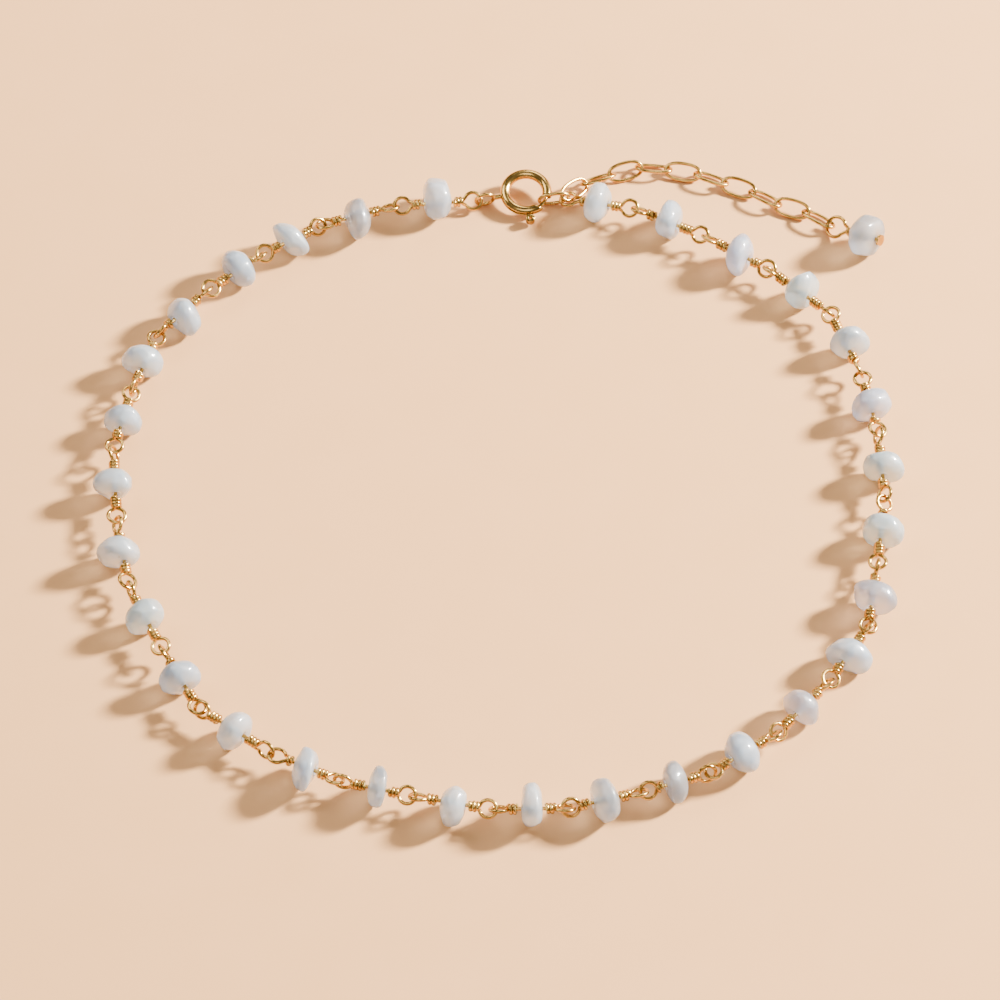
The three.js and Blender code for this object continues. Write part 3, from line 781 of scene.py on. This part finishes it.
def stood(placed, points, turn):
    """Shifts a bead's rim up or down until it stands on the surface, its bore left in place."""
    reach = np.clip((np.linalg.norm(points[:, 1:], axis=1) - BORE) / 1.6, 0, 1)
    for _ in range(4):
        lowest = int(np.argmin(placed[:, 2]))
        shift = reach * placed[lowest, 2] / max(reach[lowest], 0.2)
        placed = placed - shift[:, None] * turn[:, 2]
    return placed


def bead(name, size, along, middle, tint, specks, boxiness, material, seed, node):
    chance = np.random.default_rng(seed)
    placed, points, faces, drilled = pebble(size, boxiness, along, middle, chance)
    placed = stood(placed, points, turn_to(along))
    made = piece(name, placed, faces, material, "anklet", [node])
    shade = np.array(TINTS[tint]) * chance.uniform(0.94, 1.05)
    colours = np.tile(np.append(shade, 1).astype(np.float32), (len(placed), 1))
    attributes = made.data.attributes
    attributes.new("tint", "FLOAT_COLOR", "POINT").data.foreach_set("color", colours.ravel())
    for label, values in (("specks", [specks] * len(placed)), ("drilled", drilled)):
        attributes.new(label, "FLOAT", "POINT").data.foreach_set("value", np.float32(values))


for number, (link, (tint, specks, boxiness)) in enumerate(zip(links, STONES), 1):
    material = STONE_CLEAR if number in CLEARER else STONE_MILKY
    bead(
        f"stone_{number:02d}", link, link["along"], link["middle"], tint, specks, boxiness,
        material, 900 + number, f"bead_{number:02d}",
    )


# Extender
# A joining link that the clasp's tongue holds, then ten bought chain links: ovals of round
# gold wire, bent by machine, closed by a butt joint and laid zigzag, each through the next.
FIRST_OVAL_HOOK = {"back": 0.44, "above": 0.2}
OVAL_HEIGHT = 0.72
OVAL_ROWS = [
    # heading, pitch, roll
    (46, 3.1, -38),
    (21, 3.15, 40),
    (20, 3.15, -38),
    (-6, 3.1, 29),
    (-11, 3.2, -33),
    (-24, 3.1, 29),
    (-22, 3.2, -33),
    (-33, 3.1, 29),
    (-20, 3.2, -33),
    (-35, 3.0, 29),
]
OVAL_SQUARE = 2.35


def oval_link(name, length, width, along, middle, roll, chance):
    """One oval of wire, slightly uneven."""
    half_long, half_wide = (length - OVAL["wire"]) / 2, (width - OVAL["wire"]) / 2
    half_wide *= chance.uniform(0.96, 1.03)
    turns = np.linspace(0, 2 * math.pi, 73)[:-1]
    bow = chance.uniform(-0.03, 0.03)
    path = np.stack([
        half_long * np.sign(np.cos(turns)) * abs(np.cos(turns)) ** (2 / OVAL_SQUARE),
        half_wide * np.sign(np.sin(turns)) * abs(np.sin(turns)) ** (2 / OVAL_SQUARE),
        bow * np.cos(2 * turns),
    ], axis=1)
    shell = Shell()
    wire(shell, path, OVAL["wire"] / 2, closed=True, facets=14)
    shell.moved(turn_to(along, roll), middle)
    return shell.piece(name, GOLD_WIRE, "anklet", "gold", [name.replace("chain", "extender")])


chance = np.random.default_rng(77)
joining_middle = tongue_hold + joining_along * (JOINING["length"] - OVAL["wire"]) / 2
oval_link(
    "chain_link_00", JOINING["length"], JOINING["width"], joining_along, joining_middle,
    JOINING["roll"], chance,
)
oval_hook = joining_end - joining_along * FIRST_OVAL_HOOK["back"]
oval_hook = oval_hook + (0, 0, FIRST_OVAL_HOOK["above"])
for number, (heading, pitch, roll) in enumerate(OVAL_ROWS, 1):
    after = oval_hook + heading_of(heading) * pitch
    after[2] = OVAL_HEIGHT
    oval_link(
        f"chain_link_{number:02d}", OVAL["length"], OVAL["width"], after - oval_hook,
        (oval_hook + after) / 2, roll, chance,
    )
    oval_hook = after


# Drop
# The extender ends in one more chip, threaded on a head pin: a wire with a flat round head
# under the bead, wound into an eye above it like the links of the loop.
DROP = {"heading": -35, "slope": 17, "turns": 2, "reach": 2.36, "roll": -34, "eye": 1.05}
DROP_BEAD = {
    "thick": 2.9, "wide": 4.6, "tall": 4.6,
    "lean": 0, "skew": 0, "pear": 0, "lobe": 0.02, "side": 0,
}
PIN_HEAD = {"radius": 0.6, "thick": 0.3}

drop_along = heading_of(DROP["heading"], DROP["slope"])
drop_face = DROP_BEAD["thick"] / 2 + COIL_TO_BEAD
drop_coil_end = drop_face + DROP["turns"] * COIL_PITCH
drop_middle = oval_hook + drop_along * (drop_coil_end + DROP["reach"])
chance = np.random.default_rng(31)
pin_eye = wrapped_eye(drop_coil_end, DROP["reach"], FREE, DROP["eye"], DROP["turns"], chance)
pin_path = np.concatenate([rolled(pin_eye, DROP["roll"], -1)[::-1], [(drop_face, 0, 0)]])
pin = Shell()
wire(pin, smoothed(pin_path, PATH_STEP), WIRE_GAUGE)
head_profile = rounded_box(0.01, PIN_HEAD["radius"], 0, PIN_HEAD["thick"], 0.004)
turned_ring(pin, head_profile, np.array([drop_face, 0, 0]), (1, 0, 0))
pin.moved(turn_to(drop_along), drop_middle).piece(
    "drop_pin", GOLD_WIRE, "anklet", "gold", ["head_pin"],
)
bead(
    "drop_stone", DROP_BEAD, drop_along, drop_middle, "icy", 0.1, 2.6,
    STONE_CLEAR, 971, "drop_bead",
)
